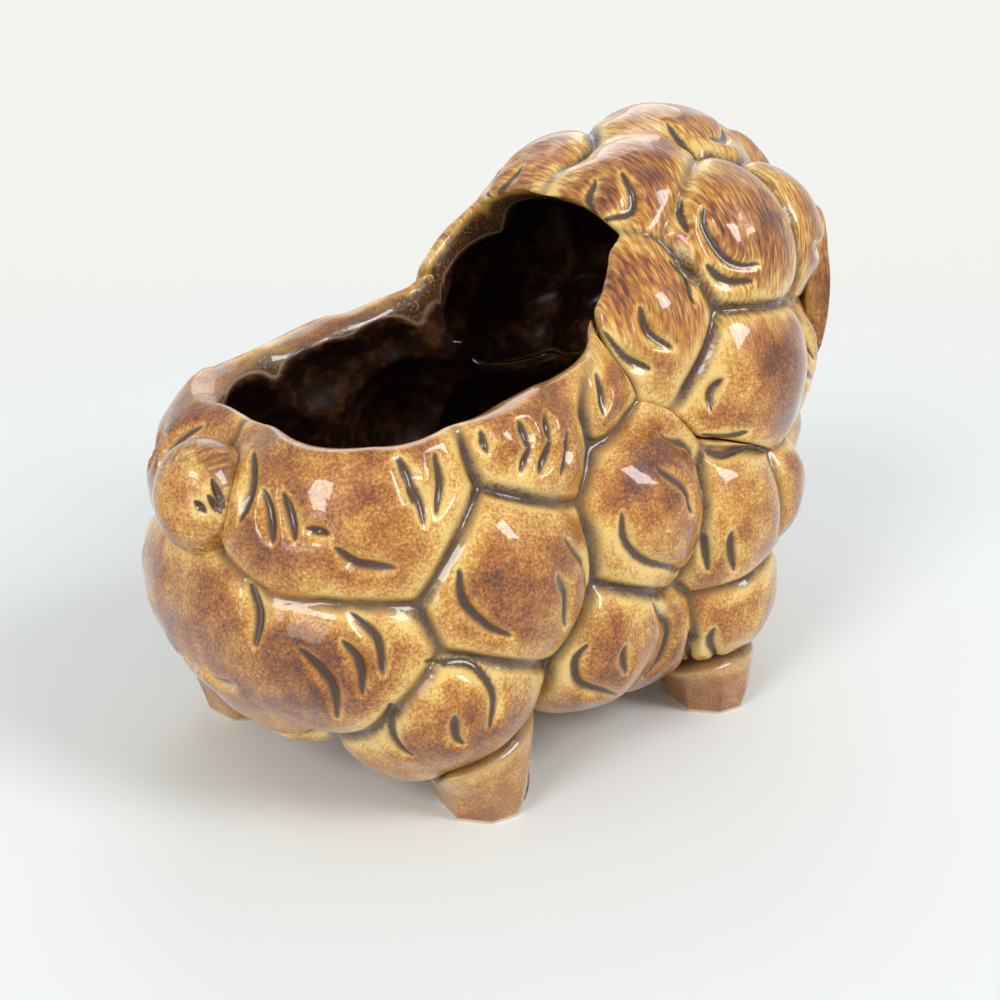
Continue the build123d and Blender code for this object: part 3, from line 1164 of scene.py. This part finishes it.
class HoneyGlaze(Shader):
    """Honey glaze: pale near the valleys, brown on the crowns of the curls, and dark where it pools."""

    def __init__(self, name, darker, crown):
        super().__init__(name)
        valley = self.attribute("valley")
        crescent = self.attribute("crescent")
        self.grain = self.noise(*GRAIN)
        self.mottle = self.noise(*MOTTLE)
        cloud = self.noise(*CLOUD)
        brushed = self.noise(*BRUSHED)
        height = self.axis(2)
        brushed_share = self.between(height, *BRUSHED_HEIGHT)
        fine = self.mix(brushed_share, self.ramp(self.grain, GREY), self.ramp(brushed, GREY))
        shade = self.number("MULTIPLY_ADD", self.between(valley, *crown), CROWN_SHADE, BASE_SHADE + darker)
        shade = self.swing(cloud, CLOUD_SWING, shade)
        shade = self.swing(self.mottle, MOTTLE_SWING, shade)
        shade = self.swing(fine, FINE_SWING, shade)
        shade = self.number("ADD", shade, self.between(height, *HEIGHT_SHADE))
        shade = self.number("SUBTRACT", shade, self.between(crescent, *CRESCENT_SHADE))
        honey = self.ramp(shade, HONEY)
        ragged = self.swing(self.mottle, POOL_MOTTLE, self.swing(cloud, POOL_CLOUD, valley))
        ragged = self.swing(self.grain, POOL_GRAIN, ragged)
        pooled = self.number("MULTIPLY", self.between(ragged, *POOL_REACH), self.attribute("crease"))
        cut = self.between(self.swing(self.grain, CUT_GRAIN, crescent), *CUT_REACH)
        self.colour = self.mix(self.number("MAXIMUM", pooled, cut), honey, POOLED)

    def glossy(self, colour):
        """The finished material, with a colour under its gloss."""
        self.link(colour, self.shader.inputs["Base Color"])
        self.set(GLOSS)
        self.bump(self.noise(*RIPPLE), RIPPLE_HEIGHT)
        return self.material


def fleece_glaze():
    """The glaze of the curls, with a speckled rim, and painted shade of the hollow on the inner wall, duller
    under a thinner coat.
    """
    glaze = HoneyGlaze("fleece_glaze", *FLEECE_HONEY)
    across = glaze.attribute("across")
    inside = glaze.attribute("inside")
    speckled = glaze.mix(glaze.between(glaze.grain, *SPECKLES), SPECKLE, STRAW)
    ragged = glaze.swing(glaze.mottle, RIM_MOTTLE, across)
    edged = glaze.mix(glaze.between(ragged, *RIM_SPECKLED), STRAW, speckled)
    edged = glaze.mix(glaze.between(across, *RIM_PALE), edged, EDGE)
    colour = glaze.mix(glaze.attribute("band"), glaze.colour, edged)
    # The inner wall gets painted shade of the hollow: near-black, mottled with warmer flecks.
    hollow_shade = glaze.mix(glaze.between(glaze.mottle, *HOLLOW_SHADE_FLECKS), HOLLOW_SHADE, HOLLOW_SHADE_WARM)
    material = glaze.glossy(glaze.mix(inside, colour, hollow_shade))
    glaze.link(glaze.between(inside, *LINING_COAT), glaze.shader.inputs["Coat Weight"])
    return material


def leg_glaze():
    """A thin glaze, wiped off along the sole."""
    glaze = HoneyGlaze("leg_glaze", *LEG_HONEY)
    wiped = glaze.between(glaze.axis(2), *WIPED_HEIGHT)
    return glaze.glossy(glaze.mix(wiped, glaze.mix(TAN_SHARE, glaze.colour, TAN), CLAY))


def tail_glaze():
    """The glaze of the tail, streaked towards its edge."""
    glaze = HoneyGlaze("tail_glaze", *TAIL_HONEY)
    streaks = glaze.between(glaze.noise(*STREAKS), *STREAK_EDGES)
    shade = glaze.number("MULTIPLY", glaze.attribute("edge"), streaks)
    return glaze.glossy(glaze.mix(glaze.number("MULTIPLY", shade, STREAK_SHARE), glaze.colour, CHESTNUT))


def face_glaze():
    """The glaze of the face, with dark pupils."""
    glaze = HoneyGlaze("face_glaze", *FACE_HONEY)
    pupil = glaze.between(glaze.attribute("pupil"), *PUPIL_REACH)
    return glaze.glossy(glaze.mix(pupil, glaze.colour, UMBER))


def seen_directly(tree):
    """1 for the camera and for what mirrors and glass show of the backdrop, 0 for the light it gives."""
    paths = tree.nodes.new("ShaderNodeLightPath")
    share = paths.outputs["Is Camera Ray"]
    for kind in ("Is Glossy Ray", "Is Transmission Ray"):
        node = tree.nodes.new("ShaderNodeMath")
        node.operation = "MAXIMUM"
        tree.links.new(share, node.inputs[0])
        tree.links.new(paths.outputs[kind], node.inputs[1])
        share = node.outputs[0]
    return share


def backdrop():
    """A pale floor that reaches out of sight, and shows as plain paper where it is far away."""
    bpy.ops.mesh.primitive_plane_add(size=FLOOR_SIZE, location=(0, 0, 0))
    floor = bpy.context.active_object
    floor.name = "floor"
    paper = Shader("floor_paper")
    paper.set({"Roughness": PAPER_ROUGHNESS, "Emission Color": (*PAPER_GLOW, 1)})
    away = paper.number("SQRT", paper.number(
        "ADD",
        paper.number("POWER", paper.axis(0), 2.0),
        paper.number("POWER", paper.axis(1), 2.0),
    ))
    far = paper.number("MULTIPLY", seen_directly(paper.tree), paper.between(away, *FLOOR_FADE))
    paper.link(far, paper.shader.inputs["Emission Strength"])
    paper.link(paper.mix(far, PAPER, (0.0, 0.0, 0.0)), paper.shader.inputs["Base Color"])
    floor.data.materials.append(paper.material)


def lamps():
    world = bpy.data.worlds.new("studio")
    world.use_nodes = True
    nodes = world.node_tree.nodes
    links = world.node_tree.links
    nodes["Background"].inputs[0].default_value = (*SKY, 1)
    nodes["Background"].inputs[1].default_value = SKY_STRENGTH
    paper = nodes.new("ShaderNodeBackground")
    paper.inputs[0].default_value = (*PAPER_GLOW, 1)
    blend = nodes.new("ShaderNodeMixShader")
    links.new(seen_directly(world.node_tree), blend.inputs[0])
    links.new(nodes["Background"].outputs[0], blend.inputs[1])
    links.new(paper.outputs[0], blend.inputs[2])
    links.new(blend.outputs[0], nodes["World Output"].inputs[0])
    bpy.context.scene.world = world
    for name, place, size, power in LAMPS:
        light = bpy.data.lights.new(name, "AREA")
        light.shape = "RECTANGLE"
        light.size = size
        light.size_y = size * LAMP_STRETCH
        light.energy = power
        lamp = bpy.data.objects.new(name, light)
        lamp.location = place
        aim = LAMP_AIM - Vector(place)
        lamp.rotation_euler = aim.to_track_quat("-Z", "Y").to_euler()
        bpy.context.scene.collection.objects.link(lamp)


def photograph_camera():
    data = bpy.data.cameras.new("camera")
    data.lens = LENS_MM
    data.sensor_width = SENSOR_MM
    camera = bpy.data.objects.new("camera", data)
    camera.location = CAMERA_PLACE
    camera.rotation_euler = (math.radians(90 - CAMERA_ELEVATION), 0, math.radians(CAMERA_AZIMUTH))
    bpy.context.scene.collection.objects.link(camera)
    bpy.context.scene.camera = camera


photograph_camera()
lamps()
backdrop()
bpy.context.scene.view_settings.view_transform = "Standard"

fleece = Fleece()
skins = skin_trees()
lines = crescent_lines(skins) + ring_lines(skins)
curly = fleece_glaze()
fleece_piece("body_shell", "body_fleece", fleece, lines, curly)
fleece_piece("head_shell", "head_fleece", fleece, lines, curly)

tail = small_piece("tail", "tail_knob", fleece, tail_shape)
finish_piece(tail, "tail", tail_glaze())
muzzle = small_piece("face", "lamb_face", fleece, face_shape)
finish_piece(muzzle, "face", face_glaze())
for side, node in ((-1, "right_ear"), (1, "left_ear")):
    ear = small_piece(node, node + "_leaf", fleece, ear_shape(side))
    finish_piece(ear, node, curly)
shod = leg_glaze()
for node, stance in STANCES.items():
    leg = small_piece(node, node + "_hoof", fleece, leg_shape(stance))
    finish_piece(leg, node, shod)
